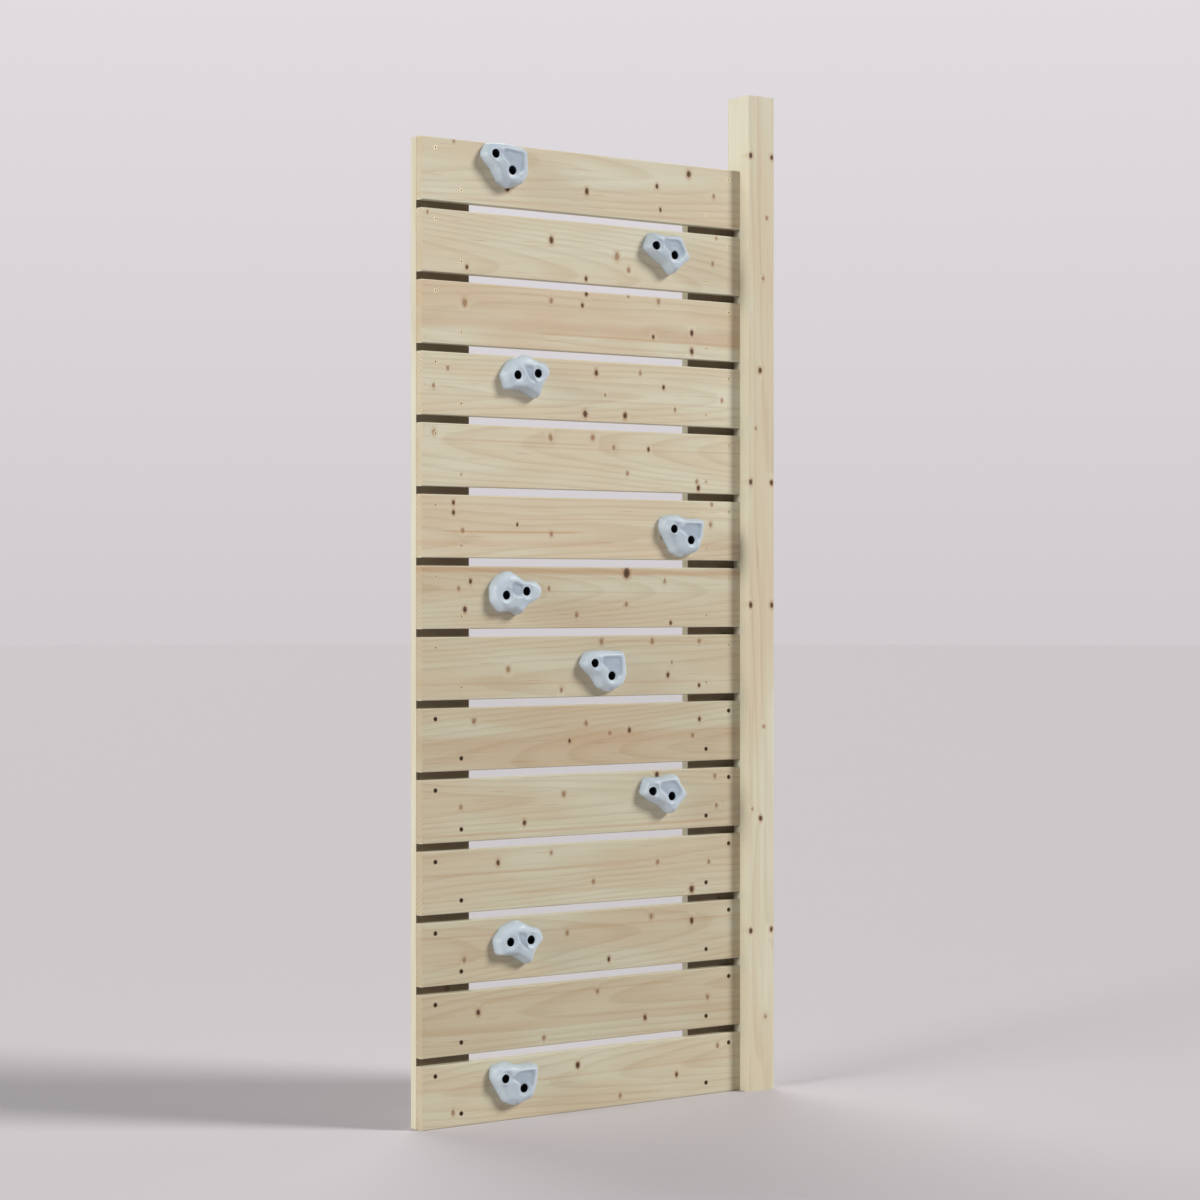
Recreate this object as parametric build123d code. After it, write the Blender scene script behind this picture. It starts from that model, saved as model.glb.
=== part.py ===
from build123d import *
import os

os.makedirs("parts", exist_ok=True)

# A slatted rock climbing wall: level slats screwed to two upright boards, which stand
# beside one square post. Moulded holds are bolted through the slats into tee nuts.
# Millimetres. +X is the climber's right, +Y goes into the wall, +Z is up. The origin is on
# the ground, half way along the wall and half way through the post.

# Slats, numbered from the top. The lowest one stands on the ground.
slat_count = 14
slat_length = 775.0
slat_width = 120.0
slat_thick = 20.0
slat_gap = 15.0
edge_round = 2.5

# Upright boards behind the slats' two ends
board_width = 120.0
board_thick = 20.0

# Post at the right-hand end. The boards' backs are flush with its back.
post_side = 68.0
post_above = 152.0  # over the top slat
post_edge = 3.0
post_top_edge = 1.5

# Countersunk screws that hold the slats on the boards
screw_dia = 4.5
screw_head_dia = 8.5
screw_head_rim = 0.4
screw_length = 35.0
screw_tip = 6.0
outer_screw_in = 30.0  # the upper screw, from the slat's end
outer_screw_down = 20.0  # and from its upper edge
inner_screw_in = 89.0  # the lower screw, from the slat's end
inner_screw_up = 24.0  # and from its lower edge

# Long screws through the post into the right-hand board's edge
post_screw_dia = 6.0
post_screw_head_dia = 12.0
post_screw_length = 120.0
post_screw_slats = (2, 5, 9, 12)  # level with the middles of these slats

# Cross recess in every screw head, as a share of the head
recess_span = 0.62
recess_wide = 0.16
recess_deep = 0.28

# Holds
hold_height = 33.0
hold_foot = 6.0  # its side stands straight up to here
hold_shoulder = 22.0
shoulder_share = 0.86  # of the outline's size, at that height
crown_share = 0.62
hold_web = 8.0  # plastic under each bolt's washer
corner_round = 5.0
bolt_spacing = 48.0

# M8 socket cap bolts, washers and pronged tee nuts
bolt_dia = 8.0
bolt_head_dia = 13.0
bolt_head_high = 8.0
bolt_socket_across = 6.0
bolt_socket_deep = 4.0
bolt_edge = 0.8
bolt_tip_proud = 3.9  # past the tee nut's flange
washer_dia = 16.0
washer_thick = 1.6
tee_barrel_wall = 1.0
tee_barrel_long = 9.0
tee_flange_dia = 22.0
tee_flange_thick = 1.5
prong_count = 4
prong_wide = 3.0
prong_thick = 1.0
prong_long = 6.0
prong_turn = 45.0

# Pilot holes for the tower's rails, which meet the wall's back and the post's outer side
rail_heights = (60.0, 1160.0, 1815.0)
pilot_dia = 6.0
pilot_depth_board = 16.0
pilot_depth_post = 45.0
back_pilot_spacing = 60.0
side_pilot_spacing = 30.0

# Clearances
fit_gap = 0.05  # round things in their holes
bolt_hole_gap = 0.4  # bolts through slats and holds
counterbore_gap = 0.6  # washers in the holds' counterbores
blind_gap = 0.5  # below a screw's point

# Places that follow
wall_length = slat_length + post_side
left_x = -wall_length / 2
post_x = left_x + slat_length  # the post's left face, where the slats end
outer_x = post_x + post_side
post_front_y = -post_side / 2
back_y = post_side / 2  # the back of the post and of the boards
slat_back_y = back_y - board_thick
front_y = slat_back_y - slat_thick
pitch = slat_width + slat_gap
wall_height = (slat_count - 1) * pitch + slat_width
post_height = wall_height + post_above
tee_barrel_dia = bolt_dia + 2 * tee_barrel_wall

# Hold shapes, seen from the front, about the middle of their two bolts. Each one has its
# bolts' slope and its outline's corners, anticlockwise from the left.
shapes = {
    "shield": {
        "slope": -35.0,
        "corners": [(-41, 12), (-31, 1), (-16, -12), (0, -36), (22, -47), (54, -35),
                    (65, -14), (60, 33), (6, 38), (-30, 35)],
    },
    "kite": {
        "slope": -17.0,
        "corners": [(-40, 2), (-12, -16), (9, -27), (29, -46), (49, -26), (72, -8),
                    (54, 17), (45, 36), (8, 31), (-29, 34)],
    },
    "star": {
        "slope": 4.0,
        "corners": [(-50, 2), (-41, -29), (-8, -29), (32, -48), (42, -18), (63, 3),
                    (52, 23), (29, 27), (3, 39), (-30, 28)],
    },
    "heart": {
        "slope": -27.0,
        "corners": [(-43, 12), (-13, -36), (9, -46), (48, -33), (60, 0), (62, 33),
                    (17, 32), (-8, 40), (-40, 35)],
    },
    "clover": {
        "slope": 9.0,
        "corners": [(-46, -16), (-26, -37), (-4, -34), (16, -43), (34, -23), (62, -9),
                    (69, 9), (54, 24), (23, 25), (-7, 44), (-32, 34), (-47, 14)],
    },
}

# Each hold: its shape, its slat, its bolts' middle from the slat's left end and above the
# slat's middle, and how far it is turned from the shape as drawn.
holds = [
    {"shape": "shield", "slat": 1, "along": 170.0, "rise": 22.0, "turn": -2.0},
    {"shape": "kite", "slat": 2, "along": 562.0, "rise": 16.0, "turn": -3.0},
    {"shape": "star", "slat": 4, "along": 226.0, "rise": 24.0, "turn": 2.0},
    {"shape": "heart", "slat": 6, "along": 605.0, "rise": -9.0, "turn": 0.0},
    {"shape": "clover", "slat": 7, "along": 199.0, "rise": 8.0, "turn": 0.0},
    {"shape": "shield", "slat": 8, "along": 407.0, "rise": -6.0, "turn": 3.0},
    {"shape": "kite", "slat": 10, "along": 554.0, "rise": 15.0, "turn": 3.0},
    {"shape": "star", "slat": 12, "along": 209.0, "rise": 16.0, "turn": -3.0},
    {"shape": "heart", "slat": 14, "along": 195.0, "rise": 14.0, "turn": 0.0},
]

upright = (Align.CENTER, Align.CENTER, Align.MIN)


def block(x, y, z):
    """A box between two corners on each axis."""
    size = (x[1] - x[0], y[1] - y[0], z[1] - z[0])
    return Pos(x[0], y[0], z[0]) * Box(*size, align=(Align.MIN, Align.MIN, Align.MIN))


def rod(radius, start, end):
    """A round bar along local +Z between two heights."""
    return Pos(0, 0, start) * Cylinder(radius, end - start, align=upright)


def slat_foot(number):
    return (slat_count - number) * pitch


def facing_front(x, y, z, turn=0.0):
    """A place on a face towards the climber: local +Z comes out of the wall."""
    return Plane(origin=(x, y, z), x_dir=(1, 0, 0), z_dir=(0, -1, 0)).location * Rot(0, 0, turn)


def facing_outer(y, z):
    """A place on the post's outer face: local +Z comes out of it."""
    return Plane(origin=(outer_x, y, z), x_dir=(0, 1, 0), z_dir=(1, 0, 0)).location


# Screws. Local +Z points out of the head, which is flush with z = 0.
def screw_body(dia, head_dia, length, gap=0.0):
    radius = dia / 2 + gap
    head = head_dia / 2 + gap
    cone_foot = -screw_head_rim - (head - radius)
    profile = Polyline(
        (0, 0), (head, 0), (head, -screw_head_rim), (radius, cone_foot),
        (radius, -length + screw_tip), (0, -length), close=True)
    return Rot(90, 0, 0) * revolve(make_face(profile), Axis.Y)


def screw(dia, head_dia, length):
    span, wide, deep = (share * head_dia for share in (recess_span, recess_wide, recess_deep))
    slots = Box(span, wide, 2 * deep) + Box(wide, span, 2 * deep)
    return screw_body(dia, head_dia, length) - slots


def screw_hole(dia, head_dia, length):
    """The seat and pilot that one screw sits in, as a cutter."""
    shaft = rod(dia / 2 + fit_gap, -length - blind_gap, 0)
    return screw_body(dia, head_dia, length, fit_gap) + shaft


def slat_screw_places(number, end):
    """The two screws at one end of one slat, on its front face."""
    foot = slat_foot(number)
    outer = (outer_screw_in, foot + slat_width - outer_screw_down)
    inner = (inner_screw_in, foot + inner_screw_up)
    spots = []
    for inset, z in (outer, inner):
        x = left_x + inset if end == "left" else post_x - inset
        spots.append(facing_front(x, front_y, z))
    return spots


def post_screw_places():
    y = back_y - board_thick / 2
    return [facing_outer(y, slat_foot(n) + slat_width / 2) for n in post_screw_slats]


# Rail pilots: pairs one above the other, cut into a face at each rail's height
def pilot_places(face, spacing):
    return [face(z + side * spacing / 2) for z in rail_heights for side in (-1, 1)]


def on_board_back(z):
    x = left_x + board_width / 2
    return Plane(origin=(x, back_y, z), x_dir=(-1, 0, 0), z_dir=(0, 1, 0)).location


def on_post_back(z):
    x = post_x + post_side / 2
    return Plane(origin=(x, back_y, z), x_dir=(-1, 0, 0), z_dir=(0, 1, 0)).location


def on_post_side(z):
    return facing_outer(0, z)


# Holds and their fasteners. Local +Z comes out of the wall and z = 0 is the slat's face.
def hold_place(hold):
    z = slat_foot(hold["slat"]) + slat_width / 2 + hold["rise"]
    return facing_front(left_x + hold["along"], front_y, z, hold["turn"])


def bolt_places(hold):
    """The hold's two bolt axes, from the bottoms of their counterbores outwards."""
    line = hold_place(hold) * Rot(0, 0, shapes[hold["shape"]]["slope"])
    return [line * Pos(side * bolt_spacing / 2, 0, 0) for side in (-1, 1)]


def hold_body(hold):
    corners = shapes[hold["shape"]]["corners"]
    outline = make_face(Polyline(*corners, close=True))
    outline = fillet(outline.vertices(), corner_round)
    levels = ((0, 1.0), (hold_foot, 1.0), (hold_shoulder, shoulder_share), (hold_height, crown_share))
    sections = [Pos(0, 0, height) * scale(outline, by=share) for height, share in levels]
    body = hold_place(hold) * loft(sections, ruled=True)
    for place in bolt_places(hold):
        body -= place * rod(bolt_dia / 2 + bolt_hole_gap, -1, hold_height)
        body -= place * rod(washer_dia / 2 + counterbore_gap, hold_web, hold_height + 1)
    return body


bolt_seat = hold_web + washer_thick
bolt_tip = -slat_thick - tee_flange_thick - bolt_tip_proud


def bolt():
    head = rod(bolt_head_dia / 2, bolt_seat, bolt_seat + bolt_head_high)
    head = chamfer(head.edges().filter_by(GeomType.CIRCLE).sort_by(Axis.Z)[-1], bolt_edge)
    socket = extrude(RegularPolygon(bolt_socket_across / 2, 6, major_radius=False), bolt_socket_deep)
    head -= Pos(0, 0, bolt_seat + bolt_head_high - bolt_socket_deep) * socket
    shank = rod(bolt_dia / 2, bolt_tip, bolt_seat)
    shank = chamfer(shank.edges().filter_by(GeomType.CIRCLE).sort_by(Axis.Z)[0], bolt_edge)
    return head + shank


def washer():
    hole = rod(bolt_dia / 2 + bolt_hole_gap, hold_web - 1, bolt_seat + 1)
    return rod(washer_dia / 2, hold_web, bolt_seat) - hole


def prongs(gap=0.0):
    """The tee nut's teeth, from its flange into the slat's back."""
    reach = tee_flange_dia / 2 - prong_thick / 2 - gap
    tooth = Box(prong_thick + 2 * gap, prong_wide + 2 * gap, prong_long + gap, align=upright)
    turns = [Rot(0, 0, prong_turn + i * 360 / prong_count) for i in range(prong_count)]
    return [turn * Pos(reach, 0, -slat_thick) * tooth for turn in turns]


def tee_nut():
    nut = rod(tee_flange_dia / 2, -slat_thick - tee_flange_thick, -slat_thick)
    nut += rod(tee_barrel_dia / 2, -slat_thick, -slat_thick + tee_barrel_long)
    for tooth in prongs():
        nut += tooth
    return nut - rod(bolt_dia / 2 + fit_gap, -slat_thick - tee_flange_thick - 1, 0)


def bolt_hole():
    """What one bolt and its tee nut take out of a slat."""
    cutter = rod(bolt_dia / 2 + bolt_hole_gap, -slat_thick - 1, 1)
    barrel_end = -slat_thick + tee_barrel_long + fit_gap
    cutter += rod(tee_barrel_dia / 2 + fit_gap, -slat_thick - 1, barrel_end)
    for tooth in prongs(fit_gap):
        cutter += tooth
    return cutter


# Timber
def slat(number):
    foot = slat_foot(number)
    body = block((left_x, post_x), (front_y, slat_back_y), (foot, foot + slat_width))
    body = fillet(body.edges().filter_by(Axis.X), edge_round)
    for end in ("left", "right"):
        for place in slat_screw_places(number, end):
            body -= place * screw_hole(screw_dia, screw_head_dia, screw_length)
    for hold in holds:
        if hold["slat"] == number:
            for place in bolt_places(hold):
                body -= place * bolt_hole()
    return body


def board(end):
    start = left_x if end == "left" else post_x - board_width
    body = block((start, start + board_width), (slat_back_y, back_y), (0, wall_height))
    body = fillet(body.edges().filter_by(Axis.Z).sort_by(Axis.Y)[-2:], edge_round)
    for number in range(1, slat_count + 1):
        for place in slat_screw_places(number, end):
            body -= place * screw_hole(screw_dia, screw_head_dia, screw_length)
    if end == "left":
        for place in pilot_places(on_board_back, back_pilot_spacing):
            body -= place * rod(pilot_dia / 2, -pilot_depth_board, 1)
    else:
        for place in post_screw_places():
            body -= place * screw_hole(post_screw_dia, post_screw_head_dia, post_screw_length)
    return body


def post():
    body = block((post_x, outer_x), (post_front_y, back_y), (0, post_height))
    body = fillet(body.edges().filter_by(Axis.Z), post_edge)
    body = chamfer(body.faces().sort_by(Axis.Z)[-1].edges(), post_top_edge)
    for place in post_screw_places():
        body -= place * screw_hole(post_screw_dia, post_screw_head_dia, post_screw_length)
    for place in pilot_places(on_post_back, back_pilot_spacing):
        body -= place * rod(pilot_dia / 2, -pilot_depth_post, 1)
    for place in pilot_places(on_post_side, side_pilot_spacing):
        body -= place * rod(pilot_dia / 2, -pilot_depth_post, 1)
    return body


def save(name, solids):
    export_step(Compound(label=name, children=list(solids)), f"parts/{name}.step")
    print(name, len(solids), "solids,", round(sum(solid.volume for solid in solids)), "mm3")


def solid_of(shape):
    return shape.solids()[0]


save("post", [solid_of(post())])
save("board_left", [solid_of(board("left"))])
save("board_right", [solid_of(board("right"))])
for number in range(1, slat_count + 1):
    save(f"slat_{number:02d}", [solid_of(slat(number))])

slat_screw = solid_of(screw(screw_dia, screw_head_dia, screw_length))
for end in ("left", "right"):
    spots = []
    for number in range(1, slat_count + 1):
        spots += slat_screw_places(number, end)
    save(f"slat_screws_{end}", [place * slat_screw for place in spots])
post_screw = solid_of(screw(post_screw_dia, post_screw_head_dia, post_screw_length))
save("post_screws", [place * post_screw for place in post_screw_places()])

hold_bolt = solid_of(bolt())
hold_washer = solid_of(washer())
hold_tee_nut = solid_of(tee_nut())
for index, hold in enumerate(holds, start=1):
    save(f"hold_{index:02d}", [solid_of(hold_body(hold))])
    for kind, part in (("bolts", hold_bolt), ("washers", hold_washer), ("tee_nuts", hold_tee_nut)):
        save(f"{kind}_{index:02d}", [place * part for place in bolt_places(hold)])
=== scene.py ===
import math
import random

import bmesh
import bpy
from mathutils import Matrix, Vector, noise


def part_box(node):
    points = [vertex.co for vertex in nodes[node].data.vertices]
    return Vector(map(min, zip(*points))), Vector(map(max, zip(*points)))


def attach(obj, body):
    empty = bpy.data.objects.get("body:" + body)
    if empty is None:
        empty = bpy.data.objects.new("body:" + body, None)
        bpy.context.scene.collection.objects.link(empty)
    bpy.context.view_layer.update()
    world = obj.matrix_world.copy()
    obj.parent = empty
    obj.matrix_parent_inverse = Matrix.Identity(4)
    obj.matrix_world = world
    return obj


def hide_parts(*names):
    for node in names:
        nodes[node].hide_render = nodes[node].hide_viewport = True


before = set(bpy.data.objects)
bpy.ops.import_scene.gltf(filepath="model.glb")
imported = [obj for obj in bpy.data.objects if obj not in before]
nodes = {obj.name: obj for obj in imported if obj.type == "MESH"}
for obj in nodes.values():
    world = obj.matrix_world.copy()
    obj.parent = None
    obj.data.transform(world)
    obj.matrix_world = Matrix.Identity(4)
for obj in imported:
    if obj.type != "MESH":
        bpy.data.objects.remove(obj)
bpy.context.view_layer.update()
mm = 0.001


class Wire:  # an output socket, which adds Math nodes when it is used in a sum
    def __init__(self, paint, socket):
        self.paint = paint
        self.socket = socket

    def maths(self, operation, first, second=None):
        values = {0: first} if second is None else {0: first, 1: second}
        return self.paint.node("ShaderNodeMath", {"operation": operation}, values)

    def output(self, number):  # another output of the same node
        return Wire(self.paint, self.socket.node.outputs[number])

    def __add__(self, other):
        return self.maths("ADD", self, other)

    def __radd__(self, other):
        return self.maths("ADD", other, self)

    def __sub__(self, other):
        return self.maths("SUBTRACT", self, other)

    def __rsub__(self, other):
        return self.maths("SUBTRACT", other, self)

    def __mul__(self, other):
        return self.maths("MULTIPLY", self, other)

    def __rmul__(self, other):
        return self.maths("MULTIPLY", other, self)

    def __truediv__(self, other):
        return self.maths("DIVIDE", self, other)

    def __rtruediv__(self, other):
        return self.maths("DIVIDE", other, self)

    def __abs__(self):
        return self.maths("ABSOLUTE", self)

    def fraction(self):
        return self.maths("FRACT", self)

    def root(self):
        return self.maths("SQRT", self)

    def least(self, other):
        return self.maths("MINIMUM", self, other)


class Paint:  # one material or world, and the ways to add nodes to it
    def __init__(self, name, world=False):
        self.owner = bpy.data.worlds.new(name) if world else bpy.data.materials.new(name)
        self.owner.use_nodes = True
        self.tree = self.owner.node_tree
        self.tree.nodes.clear()

    def node(self, kind, settings=None, sockets=None, out=0):
        made = self.tree.nodes.new(kind)
        for key, value in (settings or {}).items():
            if key == "stops":
                self.fillRamp(made.color_ramp, value)
            else:
                setattr(made, key, value)
        for key, value in (sockets or {}).items():
            if isinstance(value, Wire):
                self.tree.links.new(value.socket, made.inputs[key])
            else:
                made.inputs[key].default_value = value
        return Wire(self, made.outputs[out]) if len(made.outputs) else None

    def fillRamp(self, ramp, stops):
        while len(ramp.elements) > 1:
            ramp.elements.remove(ramp.elements[-1])
        ramp.elements[0].position = stops[0][0]
        ramp.elements[0].color = stops[0][1]
        for place, colour in stops[1:]:
            ramp.elements.new(place).color = colour

    def ramp(self, value, stops):  # grey stops, as (place, brightness)
        colours = [(place, (level, level, level, 1)) for place, level in stops]
        return self.node("ShaderNodeValToRGB", {"stops": colours}, {0: value})

    def mix(self, factor, first, second, blend="MIX"):
        settings = {"data_type": "RGBA", "blend_type": blend}
        return self.node("ShaderNodeMix", settings, {0: factor, 6: first, 7: second}, out=2)

    def place(self):
        return self.node("ShaderNodeTexCoord", out=3)

    def stretch(self, vector, scale, shift=(0, 0, 0)):
        sockets = {0: vector, 1: scale, 2: shift}
        return self.node("ShaderNodeVectorMath", {"operation": "MULTIPLY_ADD"}, sockets)

    def noise(self, vector, scale, detail=3.0, rough=0.55):
        sockets = {"Vector": vector, "Scale": scale, "Detail": detail, "Roughness": rough}
        return self.node("ShaderNodeTexNoise", {}, sockets)

    def bump(self, height, strength, distance):
        sockets = {"Strength": strength, "Distance": distance, "Height": height}
        return self.node("ShaderNodeBump", {}, sockets)

    def finish(self, colour, rough, normal=None, metal=0.0, sockets=None):
        values = {"Base Color": colour, "Roughness": rough, "Metallic": metal}
        if normal is not None:
            values["Normal"] = normal
        values.update(sockets or {})
        shader = self.node("ShaderNodeBsdfPrincipled", {}, values)
        self.node("ShaderNodeOutputMaterial", {}, {0: shader})
        return self.owner


def linear(share):
    return share / 12.92 if share < 0.04 else ((share + 0.055) / 1.055) ** 2.4


def rgb(red, green, blue):  # a colour as a screen shows it, made linear
    return linear(red / 255), linear(green / 255), linear(blue / 255), 1.0


def dress(name, material):
    piece = nodes[name]
    piece.data.materials.clear()
    piece.data.materials.append(material)


pine = {
    "early": rgb(216, 209, 184),
    "late": rgb(186, 163, 126),
    "blush": rgb(210, 184, 152),
    "cream": rgb(223, 220, 199),
    "halo": rgb(176, 128, 86),
    "knot": rgb(100, 66, 44),
    "knotHeart": rgb(52, 36, 28),
    "paleKnot": rgb(150, 112, 76),
    "resin": rgb(190, 136, 88),
    "endGrain": rgb(190, 166, 128),
    "shaded": rgb(96, 78, 54),  # painted shade, on a board's front behind the gaps and under the slats
    "grainShift": 40,  # metres along the noise, so that no two pieces match
    "ringPitch": 7.5 * mm,
    "ringDrift": 38 * mm,
    "ringBulges": (11 * mm, 7 * mm),  # how far a dark knot and a pale knot push the rings apart
    "contrast": 0.36,  # of the late wood against the early
    "pithDepth": (30, 75),  # how far behind the back the tree's heart lies
    "pithSpread": 45,  # and how far to either side
    "pithLean": (0.05, 0.03),
    "knotShares": (0.95, 1.3),  # a knot's width and its height, in its own radii
    "uprightKnotShares": (0.95, 1.25),
    "specular": 0.32,
}


def nearest(paint, flat, spots, shares):  # how far off the nearest spot is, in its own radii
    best = None
    for across, along, size in spots:
        scale = (1 / (size * shares[0] * mm), 1 / (size * shares[1] * mm), 0)
        shift = (-across * mm * scale[0], -along * mm * scale[1], 0)
        reach = paint.stretch(flat, scale, shift)
        length = paint.node("ShaderNodeVectorMath", {"operation": "LENGTH"}, {0: reach}, out=1)
        best = length if best is None else best.least(length)
    return best


class Timber(Paint):  # pine whose grain runs along a slat, or up a board or the post
    def __init__(self, name, seed, grain, box):
        super().__init__(name)
        self.draw = random.Random(seed)
        self.level = grain == "x"
        self.low, self.high = box
        self.x = self.node("ShaderNodeSeparateXYZ", {}, {0: self.place()})
        self.y = self.x.output(1)
        self.z = self.x.output(2)
        if self.level:
            self.along, self.across = self.x, self.z
            self.first, self.last = self.low.z, self.high.z
        else:
            self.along, self.across = self.z, self.x
            self.first, self.last = self.low.x, self.high.x
        self.middle = (self.first + self.last) / 2
        offset = self.draw.uniform(-pine["grainShift"], pine["grainShift"])
        places = {0: self.along + offset, 1: self.y, 2: self.across}
        self.timber = self.node("ShaderNodeCombineXYZ", {}, places)
        self.flat = self.node("ShaderNodeCombineXYZ", {}, {0: self.x, 1: self.z, 2: 0.0})

    # noise that is drawn out along the grain
    def fibres(self, stretches, detail=2.0, rough=0.55, shift=(0, 0, 0)):
        along, across = stretches
        return self.noise(self.stretch(self.timber, (along, across, across), shift), 1.0, detail, rough)

    def findKnots(self, knots):  # how far the dark and the pale knots are, each smaller deeper in
        shares = pine["knotShares"] if self.level else pine["uprightKnotShares"]
        wobble = self.noise(self.flat, 90, 2.0)
        taper = (self.y - self.low.y) * knots["taper"]
        dark = nearest(self, self.flat, knots["dark"], shares) + taper
        pale = nearest(self, self.flat, knots["pale"], shares) + taper
        if "side" in knots:
            flank = self.node("ShaderNodeCombineXYZ", {}, {0: self.y, 1: self.z, 2: 0.0})
            sideTaper = (self.high.x - self.x) * knots["taper"]
            dark = dark.least(nearest(self, flank, knots["side"], shares) + sideTaper)
        self.dark = dark + (wobble - 0.5) * 0.7
        self.pale = pale + (wobble - 0.5) * 0.9

    def growRings(self):  # about a pith that lies behind the face and leans along the grain
        pithDepth = self.high.y + self.draw.uniform(*pine["pithDepth"]) * mm
        pithAcross = self.middle + self.draw.uniform(-pine["pithSpread"], pine["pithSpread"]) * mm
        leanDepth, leanAcross = (self.draw.uniform(-lean, lean) for lean in pine["pithLean"])
        darkBulge, paleBulge = pine["ringBulges"]
        self.drift = self.fibres((1.0, 7.0), 2.0, 0.45)
        depth = self.y - pithDepth + self.along * leanDepth
        side = self.across - pithAcross + self.along * leanAcross
        radius = (depth * depth + side * side).root() + self.drift * pine["ringDrift"]
        bulge = self.ramp(self.dark * 0.25, [(0.0, 1.0), (0.25, 0.6), (0.6, 0.12), (1.0, 0.0)])
        radius = radius + bulge * darkBulge
        bulge = self.ramp(self.pale * 0.25, [(0.0, 1.0), (0.25, 0.5), (0.6, 0.1), (1.0, 0.0)])
        radius = radius + bulge * paleBulge
        rings = (radius / pine["ringPitch"]).fraction()
        stops = [(0.0, 0.0), (0.5, 0.12), (0.86, 1.0), (0.94, 0.85), (1.0, 0.0)]
        self.late = self.ramp(rings, stops)

    def groundColour(self, warmth):  # broad tone, streaks and fibres
        broad = self.fibres((2.2, 11.0))
        self.streak = self.fibres((3.5, 150.0), 3.0, 0.6)
        self.fibre = self.fibres((26.0, 1500.0), 2.0, 0.7)
        patch = self.ramp(broad, [(0.38, 0.0), (0.62, 1.0)])
        colour = self.mix(patch * (0.35 + warmth), pine["early"], pine["blush"])
        creamy = self.ramp(broad, [(0.30, 1.0), (0.48, 0.0)])
        colour = self.mix(creamy * 0.6, colour, pine["cream"])
        lateShare = self.late * (0.35 + broad * 0.9) * pine["contrast"]
        colour = self.mix(lateShare, colour, pine["late"])
        streaks = self.ramp(self.streak, [(0.30, 1.0), (0.50, 0.0)])
        colour = self.mix(streaks * 0.16, colour, pine["late"])
        glints = self.ramp(self.streak, [(0.55, 0.0), (0.75, 1.0)])
        colour = self.mix(glints * 0.30, colour, pine["cream"])
        resin = self.fibres((9.0, 420.0), 1.0, shift=(5.0, 2.0, 1.0))
        ducts = self.ramp(resin, [(0.70, 0.0), (0.76, 1.0)])
        return self.mix(ducts * 0.35, colour, pine["halo"])

    def addBands(self, colour, bands):  # resin-rich streaks along a slat
        for height, width, start, end, strength in bands:
            off = self.z - (self.middle + height * mm) + (self.drift - 0.5) * 0.02
            within = (self.x - (self.low.x + start * mm)).least((self.low.x + end * mm) - self.x)
            share = self.ramp(abs(off) / (width * mm) * 0.5, [(0.0, 1.0), (0.2, 0.8), (0.5, 0.0)])
            share = share * self.ramp(within * 8.0, [(0.0, 0.0), (0.35, 1.0)])
            share = share * (0.35 + self.streak * 1.1)
            colour = self.mix(share * strength, colour, pine["resin"])
        return colour

    def addKnots(self, colour):  # a halo, a core and, in a dark knot, a heart and a bark ring
        glow = self.ramp(self.pale * 0.25, [(0.15, 0.55), (0.5, 0.0)])
        colour = self.mix(glow * 0.6, colour, pine["halo"])
        core = self.ramp(self.pale * 0.5, [(0.30, 1.0), (0.55, 0.0)])
        colour = self.mix(core * 0.75, colour, pine["paleKnot"])
        glow = self.ramp(self.dark * 0.25, [(0.22, 0.9), (0.55, 0.0)])
        colour = self.mix(glow * 0.7, colour, pine["halo"])
        core = self.ramp(self.dark * 0.5, [(0.42, 1.0), (0.56, 0.0)])
        colour = self.mix(core * 0.95, colour, pine["knot"])
        stops = [(0.10, 1.0), (0.34, 0.0), (0.44, 0.0), (0.50, 0.8), (0.56, 0.0)]
        return self.mix(self.ramp(self.dark * 0.5, stops) * 0.8, colour, pine["knotHeart"])

    def addEdges(self, colour):  # end grain, painted shade on the undersides and pale eased edges
        facing = self.node("ShaderNodeSeparateXYZ", {}, {0: self.node("ShaderNodeTexCoord", out=1)})
        endFacing = facing if self.level else facing.output(2)
        ends = self.ramp(abs(endFacing), [(0.6, 0.0), (0.8, 1.0)])
        colour = self.mix(ends * (0.2 + self.late * 0.25), colour, pine["endGrain"])
        if self.level:  # painted shade on the undersides
            under = self.ramp(facing.output(2) * -1.0, [(0.6, 0.0), (0.9, 1.0)])
            colour = self.mix(under * 0.6, colour, pine["shaded"])
        edge = (self.across - self.first).least(self.last - self.across)
        worn = self.ramp(edge * 200.0 + (self.streak - 0.5) * 0.5, [(0.15, 1.0), (0.6, 0.0)])
        return self.mix(worn * 0.45, colour, pine["cream"])

    def addScrewRings(self, colour, screws):  # timber crushed about each screw head, with painted shade in the dimple there
        away = nearest(self, self.flat, screws, (1, 1))
        # painted shade: a darker ring in the dimple about each screw head, where the timber is also
        # crushed
        crushAndShade = self.ramp(away * 0.5, [(0.46, 0.0), (0.51, 1.0), (0.66, 0.0)])
        return self.mix(crushAndShade * 0.4, colour, pine["halo"])

    def addShade(self, colour):  # painted shade on a board's front, which shows only in the gaps between slats
        behind = self.ramp((self.y - self.low.y) * 400.0, [(0.1, 1.0), (0.5, 0.0)])
        return self.mix(behind * 0.85, colour, pine["shaded"])

    def complete(self, colour, tone=1.0):
        dimmer = (tone, tone ** 1.1, tone ** 1.3, 1)  # a darker slat is a little yellower too
        colour = self.mix(1.0, colour, dimmer, "MULTIPLY")
        height = self.late * 0.35 + self.fibre * 0.5 + self.streak * 0.35
        relief = self.bump(height, 0.35, 0.35 * mm)
        rough = 0.62 + (self.fibre - 0.5) * 0.25 - self.late * 0.08
        return self.finish(colour, rough, relief, sockets={"Specular IOR Level": pine["specular"]})


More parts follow.
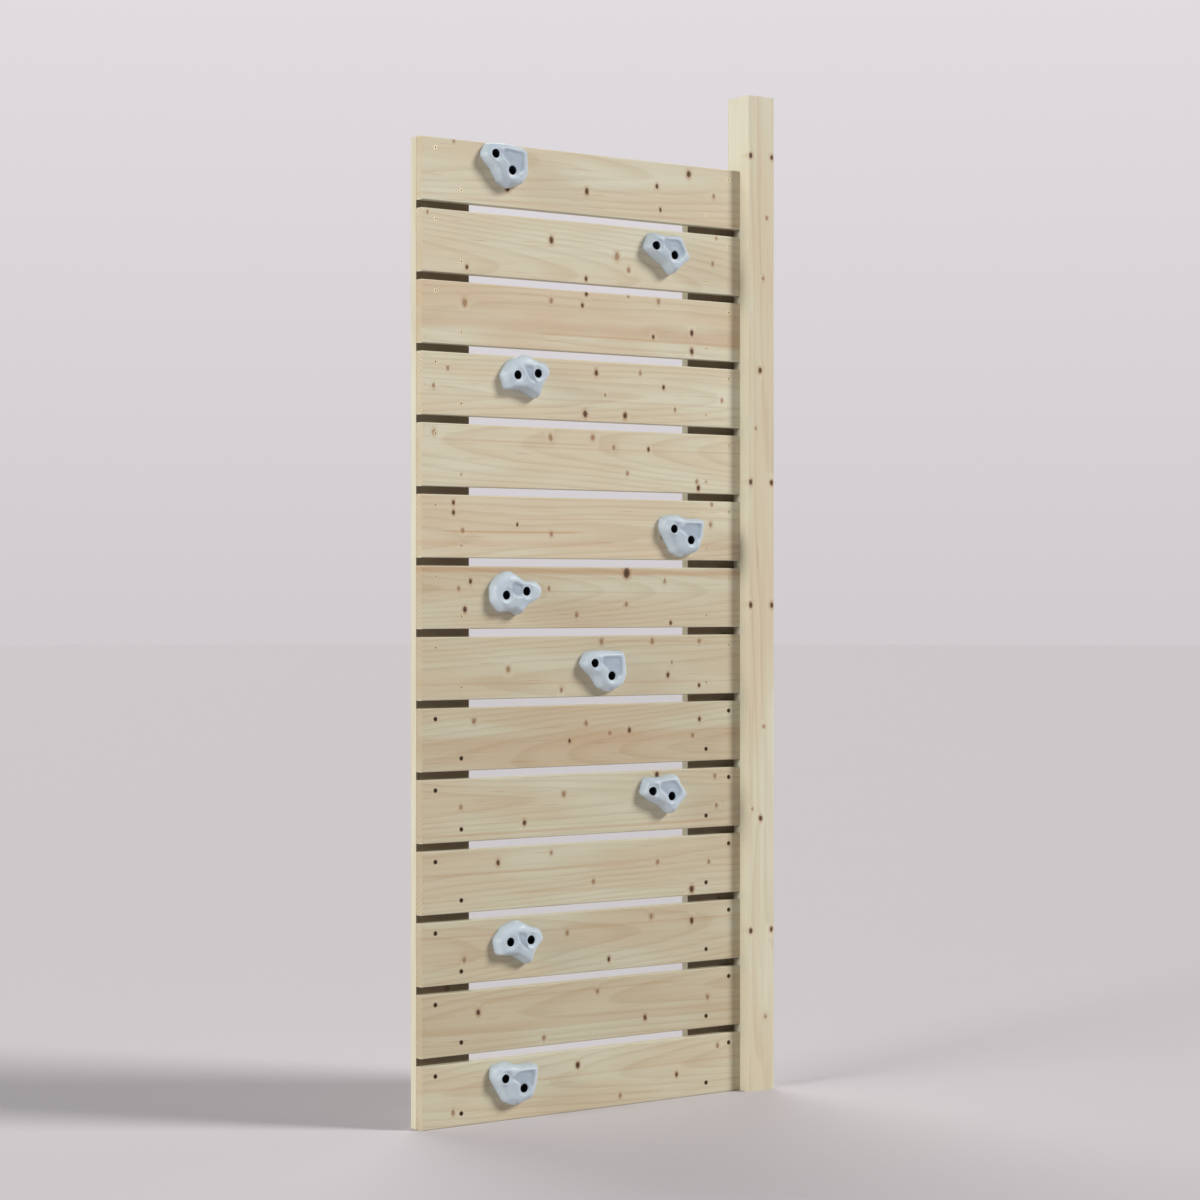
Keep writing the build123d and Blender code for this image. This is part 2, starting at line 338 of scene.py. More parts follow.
# Knots on each slat: from its left end, above its middle, and their radius
slatKnots = {
    1: {"dark": [(196, -24, 4.5), (386, -13, 4.5), (641, 42, 5.0), (560, 11, 3.6), (569, -35, 3.0)],
        "pale": [(706, 3, 4.0), (72, 56, 3.0)]},
    2: {"dark": [(300, 19, 5.0), (102, -46, 3.4), (384, -50, 3.4)],
        "pale": [(460, -1, 7.0), (489, -26, 4.5), (703, 1, 4.0), (12, 52, 3.0), (713, 54, 3.2)]},
    3: {"dark": [(385, 56, 3.6), (649, -7, 4.2), (649, -44, 4.5), (375, 32, 3.4), (551, -20, 3.0)],
        "pale": [(97, 20, 6.5), (300, 37, 5.0), (564, 51, 5.0), (488, 57, 3.0)]},
    4: {"dark": [(409, 37, 4.2), (382, -45, 5.0), (480, -45, 4.6), (577, 15, 3.2)],
        "pale": [(58, 30, 3.6), (26, -5, 4.0), (518, 41, 4.0), (606, -28, 3.6), (727, -5, 4.0),
                 (431, -6, 3.0)]},
    5: {"dark": [(666, -49, 4.0), (539, 25, 3.2)],
        "pale": [(452, 26, 4.5), (298, 41, 6.0), (400, 44, 5.5), (27, 42, 4.5), (486, -24, 4.0),
                 (662, -36, 4.0)]},
    6: {"dark": [(71, 45, 3.4), (71, 26, 3.4), (219, 5, 2.6)],
        "pale": [(92, -8, 4.0), (701, 54, 4.0), (698, 12, 4.5), (573, -14, 3.6), (300, -12, 4.0)]},
    7: {"dark": [(484, 49, 7.5), (97, -23, 4.2), (595, -51, 3.4), (110, 30, 3.4)],
        "pale": [(361, -34, 4.6), (83, 17, 3.4), (294, 17, 4.0), (483, -14, 4.6), (580, 33, 4.2)]},
    8: {"dark": [(588, -20, 3.6), (668, -42, 3.0)],
        "pale": [(422, 48, 5.5), (548, 48, 5.0), (668, 47, 4.6), (324, -45, 4.5), (198, -4, 5.0),
                 (598, 5, 3.0)]},
    9: {"dark": [(669, 25, 3.6), (491, 7, 3.8), (344, -10, 3.0)],
        "pale": [(384, 23, 4.6), (651, -8, 4.0), (442, 3, 3.4), (118, 34, 5.0)]},
    10: {"dark": [(560, 51, 4.6), (236, -30, 4.0)],
         "pale": [(713, -16, 4.0), (709, 43, 4.0), (330, 22, 5.0), (88, 6, 3.6)]},
    11: {"dark": [(649, -47, 5.4), (174, 31, 3.8)],
         "pale": [(562, 12, 4.6), (693, 6, 4.0), (402, -18, 4.6), (300, 44, 3.6)]},
    12: {"dark": [(649, 24, 4.6), (440, -38, 3.6)],
         "pale": [(96, -14, 4.6), (338, 20, 4.0), (546, 40, 5.0)]},
    13: {"dark": [(128, 18, 4.4), (530, -26, 4.0)],
         "pale": [(282, -44, 4.6), (412, 36, 4.4), (690, 2, 4.6)]},
    14: {"dark": [(364, 30, 4.6), (610, -12, 3.6)],
         "pale": [(70, -32, 4.4), (468, -40, 4.0), (716, 36, 4.0)]},
}

# Knots on the post's front: from its left face, above the ground, and their radius. Those on its
# side are from its front face
postKnots = {
    "dark": [(5, 1904, 4.5), (61, 1905, 4.0), (30, 1468, 4.6), (5, 1240, 4.6), (60, 1240, 4.2),
             (5, 990, 4.6), (61, 990, 4.4), (31, 555, 4.6), (5, 327, 4.4), (60, 327, 4.2)],
    "pale": [(38, 1656, 4.0), (40, 742, 4.0), (9, 575, 3.4), (48, 1780, 4.0), (18, 1350, 3.6),
             (44, 150, 4.4)],
    "side": [(14, 1902, 4.6), (48, 1636, 4.0), (40, 1244, 4.6), (20, 984, 4.6), (52, 700, 3.8),
             (26, 330, 5.0)],
}
boardKnots = {
    "board_left": {"dark": [(38, 640, 5.0), (84, 1452, 5.6)],
                   "pale": [(70, 262, 6.0), (30, 1130, 5.0)]},
    "board_right": {"dark": [(80, 388, 5.4), (34, 1570, 5.0)],
                    "pale": [(52, 902, 6.0), (90, 1240, 5.0)]},
}

# Resin streaks: above a slat's middle, how wide, where they start and end, and how strong
slatBands = {
    1: [(-48, 5, -100, 900, 0.18)],
    3: [(-14, 17, -100, 900, 0.34), (-26, 4, 250, 900, 0.4)],
    4: [(-20, 3, -100, 900, 0.22), (34, 3, 120, 700, 0.15)],
    5: [(30, 3, 20, 420, 0.3), (22, 2.4, 180, 900, 0.24)],
    6: [(-10, 3.5, 40, 390, 0.6), (-34, 8, -100, 900, 0.2), (18, 2.5, 180, 640, 0.25)],
    7: [(50, 8, -100, 900, 0.5), (10, 2.5, -100, 700, 0.2)],
    8: [(48, 3, 380, 720, 0.25), (-30, 4, -100, 900, 0.2)],
    9: [(-8, 20, -100, 900, 0.22)],
    10: [(-44, 4, -100, 900, 0.25)],
    11: [(12, 3, -100, 520, 0.25), (-30, 5, 200, 900, 0.18)],
    12: [(30, 4, -100, 900, 0.25)],
    13: [(-16, 12, -100, 900, 0.2), (40, 3, 100, 640, 0.25)],
    14: [(10, 4, -100, 900, 0.22)],
}
# Each slat's brightness, and how far it leans to the rosier pine
slatTones = {7: 0.88, 8: 0.86, 9: 0.83, 10: 0.86, 11: 0.86, 12: 0.83, 13: 0.82, 14: 0.89}
slatWarmth = {3: 0.3, 6: 0.2, 7: 0.15, 9: 0.25}
upperTone = 0.98  # of the slats above those
screwInsets = ((30, 40), (89, -36))  # from a slat's end and above its middle
screwReach = 4.25  # a screw head's radius
knotTapers = {"slat": 12.0, "board": 6.0, "post": 35.0}  # radii lost in a metre of depth


def placed(knots, box, foot, kind):  # a piece's knots, moved to where the piece is
    low, _ = box
    left, front = low.x / mm, low.y / mm
    found = {"taper": knotTapers[kind]}
    for shade in ("dark", "pale"):
        found[shade] = [(left + across, foot + height, size) for across, height, size in knots[shade]]
    if "side" in knots:
        found["side"] = [(front + depth, height, size) for depth, height, size in knots["side"]]
    return found


def paintSlat(number, knots):
    name = f"slat_{number:02d}"
    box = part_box(name)
    left, right = box[0].x / mm, box[1].x / mm
    middle = (box[0].z + box[1].z) / 2 / mm
    screws = []
    for inset, height in screwInsets:
        screws += [(end, middle + height, screwReach) for end in (left + inset, right - inset)]
    timber = Timber(f"pine_{name}", number, "x", box)
    timber.findKnots(placed(knots, box, middle, "slat"))
    timber.growRings()
    colour = timber.groundColour(slatWarmth.get(number, 0.0))
    colour = timber.addBands(colour, slatBands.get(number, ()))
    colour = timber.addEdges(timber.addKnots(colour))
    colour = timber.addScrewRings(colour, screws)
    dress(name, timber.complete(colour, slatTones.get(number, upperTone)))


def paintUpright(name, knots, kind):
    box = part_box(name)
    timber = Timber(f"pine_{name}", name, "z", box)
    timber.findKnots(placed(knots, box, 0, kind))
    timber.growRings()
    colour = timber.groundColour(0.0)
    colour = timber.addEdges(timber.addKnots(colour))
    # painted shade on the board's front between the slats
    if kind == "board":
        colour = timber.addShade(colour)
    dress(name, timber.complete(colour))


def paintTimber():
    for number, knots in slatKnots.items():
        paintSlat(number, knots)
    for name, knots in boardKnots.items():
        paintUpright(name, knots, "board")
    paintUpright("post", postKnots, "post")
    print("timber painted")


metals = {
    "bolts": {"name": "bolt_black_oxide", "colour": rgb(34, 36, 42), "rough": 0.42, "metal": 0.8},
    "washers": {"name": "washer_dark_zinc", "colour": rgb(70, 72, 78), "rough": 0.4, "metal": 1.0},
    "tee_nuts": {"name": "tee_nut_zinc", "colour": rgb(196, 200, 204), "rough": 0.32, "metal": 1.0},
}
metalGrime = 0.25


def metalMaterial(name, colour, rough, metal):
    paint = Paint(name)
    place = paint.place()
    cloud = paint.noise(place, 160, 3.0)
    scratch = paint.noise(paint.stretch(place, (900, 2600, 900)), 1.0, 2.0)
    dimmed = paint.ramp(cloud, [(0.35, 0.0), (0.7, 1.0)])
    darker = tuple(channel * 0.45 for channel in colour[:3]) + (1.0,)
    shade = paint.mix(dimmed * metalGrime, colour, darker)
    relief = paint.bump(scratch, 0.15, 0.05 * mm)
    return paint.finish(shade, rough + dimmed * 0.15 + (scratch - 0.5) * 0.1, relief, metal)


# Screw heads high up are painted bright as a painted reflection, and those lower down are painted darker
screwPlan = {
    "lowestReflectingSlat": "slat_08",  # the lowest slat whose screws are painted bright, as a painted reflection
    "paintedReflection": (rgb(226, 216, 188), rgb(206, 190, 150)),
    "dimmed": (rgb(92, 78, 62), rgb(50, 42, 36)),
    "metal": 0.85,
}


def screwMaterial():
    paint = Paint("screw_zinc")
    place = paint.place()
    height = paint.node("ShaderNodeSeparateXYZ", {}, {0: place}, out=2)
    cloud = paint.noise(place, 220, 2.0)
    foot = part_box(screwPlan["lowestReflectingSlat"])[0].z
    # painted reflection: heads above this slat's foot are bright, those below darker
    low = paint.ramp(height, [(foot - 0.02, 1.0), (foot - 0.01, 0.0)])
    paintedReflection = paint.mix(cloud * 0.4, *screwPlan["paintedReflection"])
    dimmed = paint.mix(cloud * 0.5, *screwPlan["dimmed"])
    return paint.finish(paint.mix(low, paintedReflection, dimmed), 0.36 + cloud * 0.2, metal=screwPlan["metal"])


def paintMetal():
    finishes = {family: metalMaterial(**plan) for family, plan in metals.items()}
    screws = screwMaterial()
    for name in nodes:
        for family, finish in finishes.items():
            if name.startswith(family):
                dress(name, finish)
        if "screws" in name:
            dress(name, screws)
    print("metal painted")


holdPlan = {
    "boltSpacing": 48.0,
    "web": 8.0,  # plastic under the washers
    "boreRadius": 8.6,
    "boltHole": 4.4,
    "boreSteps": 56,
    "cutterRim": 2.5,  # how far the cutter is wider than the mouth
    "cutterRise": (0.4, 14.0),  # and from where to where above it
    "lip": 1.3,  # how far the bore's mouth is rounded
    "lipSteps": 5,
    "padHeight": 27.5,  # the level ring about each bore
    "padRadius": 10.5,
    "padBlend": 6.0,
    "centre": (10, -2),  # where the spokes of the mesh meet
    "spokes": 160,
    "rings": 40,
    "ringReach": 0.94,  # how far in the last ring lies
    "ringPower": 1.35,  # crowds the rings towards the edge
    "cornerSteps": 7,  # smoothings of the outline's corners
    "foot": 2.0,
    "footShare": 0.02,  # of full height, on the outermost ring
    "edgeShare": 0.40,  # of the way in, where the sides have reached full height
    "edgePower": 2.6,
    "lumps": ((17, 3.7, 0.6), (6, 1.3, 0.12)),  # each by its size, its seed step and its height
    "crease": 0.9,  # how softly two facets meet
    "weldReaches": (0.002, 0.001, 0.004, 0.008, 0.015, 0.03, 0.05),
    "panelBlend": 8.0,  # the slope down into a sunk panel
    "panelCorner": 2.5,
    "panelEdge": 0.45,  # how far down the slope is at the panel's outline
    "swellFade": 1.4,
    "sharpAngle": 38,
    "standsOff": 30.0,
    "pale": rgb(186, 199, 210),
    "paler": rgb(197, 209, 218),
    "fleck": rgb(156, 172, 188),
    "panel": rgb(156, 171, 186),
    "footShade": rgb(146, 160, 174),
    "rubbed": rgb(218, 226, 232),
    # the bore walls are painted near black, as shade
    "bore": (rgb(20, 24, 34), rgb(34, 38, 50)),
    "specular": 0.45,
}

# Outlines are corners about the middle of the two bolts. A facet is a slope: the way it
# faces in degrees from the right, how steep it is, and its height at the bolts' middle.
# A panel is a sunk, rougher patch that is painted darker as shade: its corners and how deep it is. A
# swell is a rise.
holdShapes = {
    "shield": {
        "slope": -35,
        "corners": [(-41, 12), (-31, 1), (-16, -12), (0, -36), (22, -47), (54, -35),
                    (65, -14), (60, 33), (6, 38), (-30, 35)],
        "facets": [(235, 0.36, 33), (55, 0.05, 32), (-20, 0.12, 35), (150, 0.14, 33)],
        "panels": [([(-7, 10), (10, -5), (28, -20), (44, -14), (46, 23), (-3, 25)], 4.2)],
        "swells": [(22, -34, 13, 1.5)],
    },
    "kite": {
        "slope": -17,
        "corners": [(-40, 2), (-12, -16), (9, -27), (29, -46), (49, -26), (72, -8),
                    (54, 17), (45, 36), (8, 31), (-29, 34)],
        "facets": [(245, 0.34, 33), (70, 0.06, 32), (0, 0.10, 34), (160, 0.12, 33)],
        "panels": [([(-11, 8), (2, -1), (17, -15), (39, -13), (50, 0), (32, 24), (-4, 24)], 4.4)],
        "swells": [(30, -34, 11, 3.0), (60, -7, 11, 2.0)],
    },
    "star": {
        "slope": 4,
        "corners": [(-50, 2), (-41, -29), (-8, -29), (32, -48), (42, -18), (63, 3),
                    (52, 23), (29, 27), (3, 39), (-30, 28)],
        "facets": [(165, 0.20, 33), (270, 0.24, 33), (60, 0.12, 33), (15, 0.16, 34)],
        "panels": [([(-18, 5), (-14, -7), (2, -12), (12, -30), (24, -27), (17, -4), (16, 15),
                     (-9, 16)], 4.2)],
        "swells": [(-34, 2, 15, 2.0), (33, -38, 9, 2.5)],
    },
    "heart": {
        "slope": -27,
        "corners": [(-43, 12), (-13, -36), (9, -46), (48, -33), (60, 0), (62, 33),
                    (17, 32), (-8, 40), (-40, 35)],
        "facets": [(208, 0.34, 31), (262, 0.22, 34), (63, 0.05, 33), (-10, 0.10, 34)],
        "panels": [([(-11, 8), (8, -3), (28, -16), (42, -10), (46, 22), (6, 23)], 4.2)],
        "swells": [(-26, 28, 13, 1.5), (50, 24, 10, 1.5)],
    },
    "clover": {
        "slope": 9,
        "corners": [(-46, -16), (-26, -37), (-4, -34), (16, -43), (34, -23), (62, -9),
                    (69, 9), (54, 24), (23, 25), (-7, 44), (-32, 34), (-47, 14)],
        "facets": [(180, 0.20, 34), (275, 0.24, 33), (80, 0.16, 33), (10, 0.12, 34)],
        "panels": [([(-16, 2), (-3, -8), (16, -6), (19, 12), (-4, 22), (-12, 20)], 4.8)],
        "swells": [(-32, -20, 13, 3.0), (13, -33, 9, 3.0), (-18, 32, 13, 2.5), (52, 8, 12, 2.0)],
    },
}

# The shape on each slat's hold, and how far it is turned
holdList = [("shield", -2), ("kite", -3), ("star", 2), ("heart", 0), ("clover", 0),
            ("shield", 3), ("kite", 3), ("star", -3), ("heart", 0)]


def smoothLeast(values, soft):
    return -soft * math.log(sum(math.exp(-value / soft) for value in values))


def falloff(distance, radius):
    share = distance / radius
    return math.exp(-share * share * holdPlan["swellFade"])


def easeIn(share):
    share = min(max(share, 0.0), 1.0)
    return share * share * (3 - 2 * share)


def panelShare(shape, x, z):  # 1 on the floor of a sunk panel and 0 outside it
    best = 0.0
    for corners, _ in shape["panels"]:
        sides = []
        for start, end in zip(corners, corners[1:] + corners[:1]):
            run = Vector(end) - Vector(start)
            sides.append((run.x * (z - start[1]) - run.y * (x - start[0])) / run.length)
        inside = smoothLeast(sides, holdPlan["panelCorner"])
        best = max(best, easeIn(inside / holdPlan["panelBlend"] + holdPlan["panelEdge"]))
    return best


def frontHeight(shape, x, z):  # how far the front stands off the slat, before its sides fall away
    slopes = []
    for way, steep, level in shape["facets"]:
        ahead = x * math.cos(math.radians(way)) + z * math.sin(math.radians(way))
        slopes.append(level - steep * ahead)
    height = smoothLeast(slopes, holdPlan["crease"])
    height -= shape["panels"][0][1] * panelShare(shape, x, z)
    for swellX, swellZ, radius, rise in shape["swells"]:
        height += rise * falloff(math.hypot(x - swellX, z - swellZ), radius)
    return height


def outlineReach(corners, centre, angle):  # from the centre to the outline, one way
    ahead = Vector((math.cos(angle), math.sin(angle)))
    best = 0.0
    for start, end in zip(corners, corners[1:] + corners[:1]):
        one = Vector(start) - centre
        side = Vector(end) - Vector(start)
        cross = ahead.x * side.y - ahead.y * side.x
        if abs(cross) < 1e-9:
            continue
        reach = (one.x * side.y - one.y * side.x) / cross
        share = (one.x * ahead.y - one.y * ahead.x) / cross
        if reach > 0 and -1e-6 <= share <= 1 + 1e-6:
            best = max(best, reach)
    return best


def roundedOutline(shape, centre):
    count = holdPlan["spokes"]
    turn = 2 * math.pi / count
    spans = [outlineReach(shape["corners"], centre, turn * i) for i in range(count)]
    for _ in range(holdPlan["cornerSteps"]):
        spans = [(spans[i - 1] + 2 * spans[i] + spans[(i + 1) % count]) / 4 for i in range(count)]
    return spans


def boltSpots(shape):
    slope = math.radians(shape["slope"])
    half = Vector((math.cos(slope), math.sin(slope))) * holdPlan["boltSpacing"] / 2
    return [-half, half]


def pressPads(height, x, z, bolts):
    for bolt in bolts:
        away = math.hypot(x - bolt.x, z - bolt.y) - holdPlan["padRadius"]
        share = easeIn(away / holdPlan["padBlend"])
        height = holdPlan["padHeight"] * (1 - share) + height * share
    return height


def sideRise(share, inward):  # how much of its full height the hold has, that far in from its edge
    if not share:
        return holdPlan["footShare"]
    rise = min(inward / holdPlan["edgeShare"], 1.0)
    power = holdPlan["edgePower"]
    return (1 - (1 - rise) ** power) ** (1 / power)


def surfaceHeight(shape, x, y, seed, bolts):
    lump = 0.0
    for size, step, height in holdPlan["lumps"]:
        lump += noise.noise(Vector((x / size, y / size, seed * step))) * height
    return pressPads(frontHeight(shape, x, y) + lump, x, y, bolts)


def sameOrder(fresh, loop):  # the new vertices, in the order of the ones that they grew from
    order = {tuple(round(c, 5) for c in v.co): v for v in fresh}
    return [order[tuple(round(c, 5) for c in v.co)] for v in loop]


def holdMesh(shape, seed):  # local: x and y over the slat's face, z out of it, in millimetres
    centre = Vector(holdPlan["centre"])
    reach = roundedOutline(shape, centre)
    bolts = boltSpots(shape)
    count, rings, foot = holdPlan["spokes"], holdPlan["rings"], holdPlan["foot"]
    bm = bmesh.new()
    loop = bmesh.ops.create_circle(bm, cap_ends=False, segments=count, radius=1.0)["verts"]
    angles = [math.atan2(v.co.y, v.co.x) % (2 * math.pi) for v in loop]
    spans = [reach[round(angle / (2 * math.pi) * count) % count] for angle in angles]

    def lay(verts, inward, rise):
        for v, angle, span in zip(verts, angles, spans):
            x = centre.x + math.cos(angle) * span * (1 - inward)
            y = centre.y + math.sin(angle) * span * (1 - inward)
            full = surfaceHeight(shape, x, y, seed, bolts)
            v.co = (x, y, foot + (full - foot) * rise if rise else 0.0)

    lay(loop, 0.0, 0.0)
    edges = bm.edges[:]
    bmesh.ops.edgenet_fill(bm, edges=edges)
    for ring in range(rings):
        share = ring / (rings - 1)
        inward = holdPlan["ringReach"] * share ** holdPlan["ringPower"]
        out = bmesh.ops.extrude_edge_only(bm, edges=edges)["geom"]
        edges = [part for part in out if isinstance(part, bmesh.types.BMEdge)]
        fresh = [part for part in out if isinstance(part, bmesh.types.BMVert)]
        loop = sameOrder(fresh, loop)
        lay(loop, inward, sideRise(share, inward))
    bmesh.ops.edgeloop_fill(bm, edges=edges)
    bmesh.ops.recalc_face_normals(bm, faces=bm.faces[:])
    return bm, bolts


def boreProfile():  # half of a counterbore with a rounded mouth, from its bolt hole outwards
    radius, web, lip = holdPlan["boreRadius"], holdPlan["web"], holdPlan["lip"]
    small, mouth, wide = holdPlan["boltHole"], holdPlan["padHeight"], radius + lip + holdPlan["cutterRim"]
    start, top = holdPlan["cutterRise"]
    profile = [(0, -1), (small, -1), (small, web), (radius, web), (radius, mouth - lip)]
    for step in range(1, holdPlan["lipSteps"] + 1):
        turn = math.pi / 2 * step / holdPlan["lipSteps"]
        profile.append((radius + lip * (1 - math.cos(turn)), mouth - lip + lip * math.sin(turn)))
    return profile + [(wide, mouth + start), (wide, mouth + top), (0, mouth + top)]


def boreCutter(bolts):
    bm = bmesh.new()
    for bolt in bolts:
        verts = [bm.verts.new((away + bolt.x, bolt.y, height)) for away, height in boreProfile()]
        edges = [bm.edges.new(pair) for pair in zip(verts, verts[1:])]
        bmesh.ops.spin(bm, geom=verts + edges, cent=(bolt.x, bolt.y, 0), axis=(0, 0, 1),
                       angle=2 * math.pi, steps=holdPlan["boreSteps"], use_merge=True)
    bmesh.ops.remove_doubles(bm, verts=bm.verts[:], dist=0.001)
    bmesh.ops.recalc_face_normals(bm, faces=bm.faces[:])
    shadeTop = holdPlan["padHeight"] - holdPlan["lip"]
    for face in bm.faces:
        if face.calc_center_median().z < shadeTop:
            face.material_index = 1  # the cut keeps this, so the bore's walls get the painted shade
    return bm


def asObject(name, bm, finishes=()):
    mesh = bpy.data.meshes.new(name)
    for finish in finishes:
        mesh.materials.append(finish)
    bm.to_mesh(mesh)
    bm.free()
    piece = bpy.data.objects.new(name, mesh)
    bpy.context.scene.collection.objects.link(piece)
    return piece


def bakeModifiers(piece):
    bpy.context.view_layer.update()
    graph = bpy.context.evaluated_depsgraph_get()
    mesh = bpy.data.meshes.new_from_object(piece.evaluated_get(graph))
    piece.modifiers.clear()
    piece.data = mesh


def weld(piece):  # joins what the cut left apart, at the first reach that leaves no open edge
    for reach in holdPlan["weldReaches"]:
        bm = bmesh.new()
        bm.from_mesh(piece.data)
        bmesh.ops.remove_doubles(bm, verts=bm.verts[:], dist=reach)
        bmesh.ops.dissolve_degenerate(bm, edges=bm.edges[:], dist=reach)
        bmesh.ops.triangulate(bm, faces=bm.faces[:])
        bmesh.ops.remove_doubles(bm, verts=bm.verts[:], dist=reach)
        closed = all(edge.is_manifold for edge in bm.edges)
        if closed:
            bm.to_mesh(piece.data)
        bm.free()
        if closed:
            return reach
    raise RuntimeError(f"{piece.name} has open edges at every reach")


def holdMaterial(name, seed, faceY):
    paint = Paint(name)
    place = paint.place()
    shifted = paint.stretch(place, (1, 1, 1), (seed * 1.7, seed * 0.9, 0))
    cloud = paint.noise(shifted, 28, 3.0)
    speck = paint.noise(shifted, 900, 2.0, 0.7)
    grain = paint.noise(shifted, 2400, 2.0, 0.6)
    off = paint.node("ShaderNodeSeparateXYZ", {}, {0: place}, out=1)
    stand = (faceY - off) / (holdPlan["standsOff"] * mm)  # 0 at the slat, 1 near the front
    patch = paint.ramp(cloud, [(0.35, 0.0), (0.65, 1.0)])
    colour = paint.mix(patch, holdPlan["pale"], holdPlan["paler"])
    flecks = paint.ramp(speck, [(0.60, 0.0), (0.70, 1.0)])
    colour = paint.mix(flecks * 0.18, colour, holdPlan["fleck"])
    panel = paint.node("ShaderNodeAttribute", {"attribute_name": "panel"}, out=2)
    # painted shade: the sunk panel is painted darker
    colour = paint.mix(panel * 0.8, colour, holdPlan["panel"])
    # painted shade: darker where the hold meets the slat
    low = paint.ramp(stand, [(0.02, 1.0), (0.18, 0.0)])
    colour = paint.mix(low * 0.35, colour, holdPlan["footShade"])
    scuff = paint.noise(paint.stretch(shifted, (60, 60, 240)), 1.0, 3.0)
    proud = paint.ramp(stand, [(0.6, 0.0), (0.95, 1.0)])
    rubbed = paint.ramp(scuff, [(0.60, 0.0), (0.72, 1.0)]) * proud
    colour = paint.mix(rubbed * 0.3, colour, holdPlan["rubbed"])
    height = (grain * 0.5 + speck * 0.7) * (0.5 + panel)
    relief = paint.bump(height, 0.3, 0.15 * mm)
    rough = 0.42 + (cloud - 0.5) * 0.15 + rubbed * 0.2 + (speck - 0.5) * 0.1 + panel * 0.16
    return paint.finish(colour, rough, relief, sockets={"Specular IOR Level": holdPlan["specular"]})


def paintBoreShade():
    # painted shade: a near-black finish on the bore walls, where only shade falls
    paint = Paint("hold_bore_painted_shade")
    cloud = paint.noise(paint.place(), 300, 2.0)
    return paint.finish(paint.mix(cloud, *holdPlan["bore"]), 0.5 + cloud * 0.2)


def cutBores(piece, bolts, finishes):
    cutter = asObject("bore_cutter", boreCutter(bolts), finishes)
    cut = piece.modifiers.new("bores", "BOOLEAN")
    cut.operation = "DIFFERENCE"
    cut.solver = "EXACT"
    cut.object = cutter
    bakeModifiers(piece)
    bpy.data.objects.remove(cutter)


def markPanel(mesh, shape):  # where the material is rougher and painted darker as shade
    panel = mesh.attributes.new("panel", "FLOAT", "POINT")
    shares = [panelShare(shape, v.co.x, v.co.y) for v in mesh.vertices]
    panel.data.foreach_set("value", shares)


def makeHolds():
    boreShadeFinish = paintBoreShade()
    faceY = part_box("slat_01")[0].y
    toWall = Matrix(((mm, 0, 0, 0), (0, 0, -mm, faceY), (0, mm, 0, 0), (0, 0, 0, 1)))
    for index, (kind, turn) in enumerate(holdList, start=1):
        shape = holdShapes[kind]
        low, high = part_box(f"bolts_{index:02d}")
        middle = (low + high) / 2
        bm, bolts = holdMesh(shape, index)
        finishes = [holdMaterial(f"hold_plastic_{index:02d}", index, faceY), boreShadeFinish]
        piece = asObject(f"hold_{index:02d}_moulded", bm, finishes)
        cutBores(piece, bolts, finishes)
        reach = weld(piece)
        mesh = piece.data
        mesh.shade_smooth()
        markPanel(mesh, shape)
        mesh.set_sharp_from_angle(angle=math.radians(holdPlan["sharpAngle"]))
        turned = Matrix.Rotation(math.radians(turn), 4, "Z")
        mesh.transform(Matrix.Translation((middle.x, 0, middle.z)) @ toWall @ turned)
        mesh.update()
        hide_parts(f"hold_{index:02d}")
        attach(piece, "root")
        print(piece.name, len(mesh.polygons), "faces, welded at", reach, "mm")


studio = {
    "floor": rgb(205, 200, 204),
    "floorHaze": rgb(216, 211, 214),
    "floorRadius": 60.0,
    "backdrop": rgb(209, 204, 207),
    "backdropHigh": rgb(228, 223, 228),
    "sky": rgb(240, 244, 255),
    "skyStrength": 0.06,
    "cameraPlace": (-3.461, -4.628, 1.0),
    "cameraYaw": 36.8,
    "lens": 88.0,
}

# Each light by the side it comes from, how high it stands and how wide it is, all in degrees
lamps = {
    "key": {"side": 44, "rise": 31, "spread": 18, "strength": 2.66, "colour": (1.0, 0.99, 0.97)},
    "left": {"side": -86, "rise": 14, "spread": 25, "strength": 2.4, "colour": (1.0, 1.0, 0.98)},
    "back": {"side": 160, "rise": 38, "spread": 50, "strength": 1.5, "colour": (1.0, 1.0, 0.98)},
}


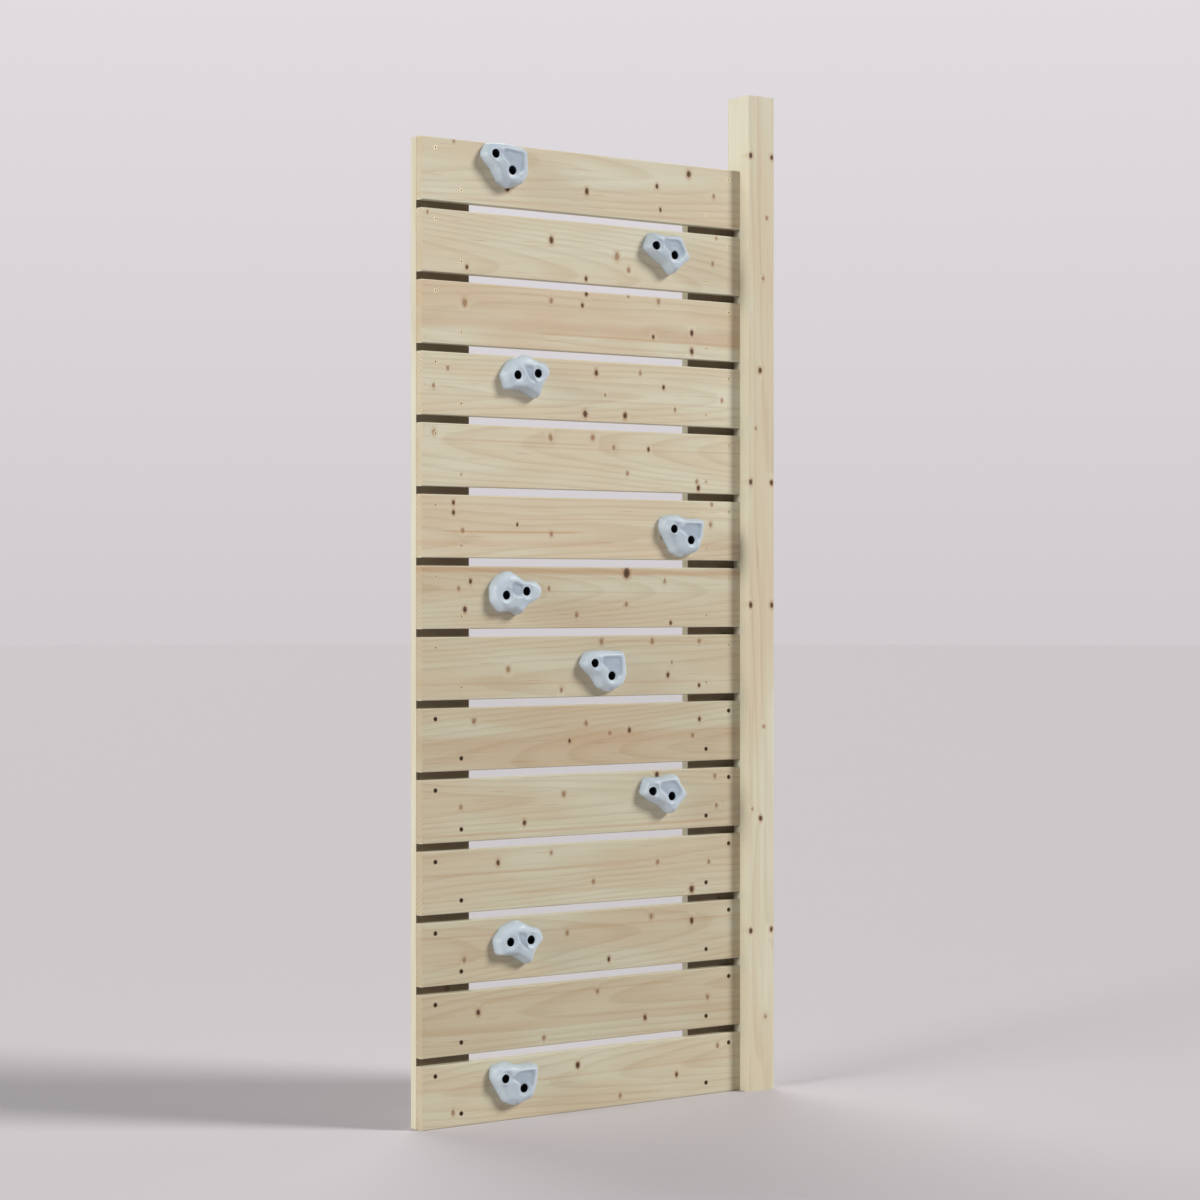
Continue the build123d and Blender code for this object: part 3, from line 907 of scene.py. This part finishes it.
def makeFloor():
    bm = bmesh.new()
    bmesh.ops.create_circle(bm, cap_ends=True, segments=96, radius=studio["floorRadius"])
    floor = asObject("studio_floor", bm)
    paint = Paint("studio_floor_pale")
    haze = paint.noise(paint.place(), 1.5, 2.0)
    tone = paint.mix(haze * 0.15, studio["floor"], studio["floorHaze"])
    matt = {"Specular IOR Level": 0.1}
    floor.data.materials.append(paint.finish(tone, 0.85 + haze * 0.1, sockets=matt))


def makeSky():  # a pale backdrop behind the wall, and a dim light from all round
    paint = Paint("studio_sky", world=True)
    height = paint.node("ShaderNodeSeparateXYZ", {}, {0: paint.node("ShaderNodeTexCoord")}, out=2)
    stops = [(0.0, studio["backdrop"]), (0.25, studio["backdropHigh"])]
    fade = paint.node("ShaderNodeValToRGB", {"stops": stops}, {0: height})
    backdrop = paint.node("ShaderNodeBackground", {}, {0: fade, 1: 1.0})
    sky = paint.node("ShaderNodeBackground", {}, {0: studio["sky"], 1: studio["skyStrength"]})
    seen = paint.node("ShaderNodeLightPath")
    choice = paint.node("ShaderNodeMixShader", {}, {0: seen, 1: sky, 2: backdrop})
    paint.node("ShaderNodeOutputWorld", {}, {0: choice})
    bpy.context.scene.world = paint.owner


def makeLamps():
    for name, plan in lamps.items():
        light = bpy.data.lights.new(name, "SUN")
        light.angle = math.radians(plan["spread"])
        light.energy = plan["strength"]
        light.color = plan["colour"]
        lamp = bpy.data.objects.new(name, light)
        lamp.rotation_euler = (math.radians(90 - plan["rise"]), 0, math.radians(plan["side"]))
        bpy.context.scene.collection.objects.link(lamp)


def makeCamera():
    scene = bpy.context.scene
    view = bpy.data.cameras.new("camera")
    view.lens = studio["lens"]
    view.sensor_width = 36.0
    camera = bpy.data.objects.new("camera", view)
    camera.location = studio["cameraPlace"]
    camera.rotation_euler = (math.radians(90), 0, -math.radians(studio["cameraYaw"]))
    scene.collection.objects.link(camera)
    scene.camera = camera
    scene.view_settings.view_transform = "Standard"


paintTimber()
paintMetal()
makeHolds()
makeFloor()
makeSky()
makeLamps()
makeCamera()
print("studio ready")
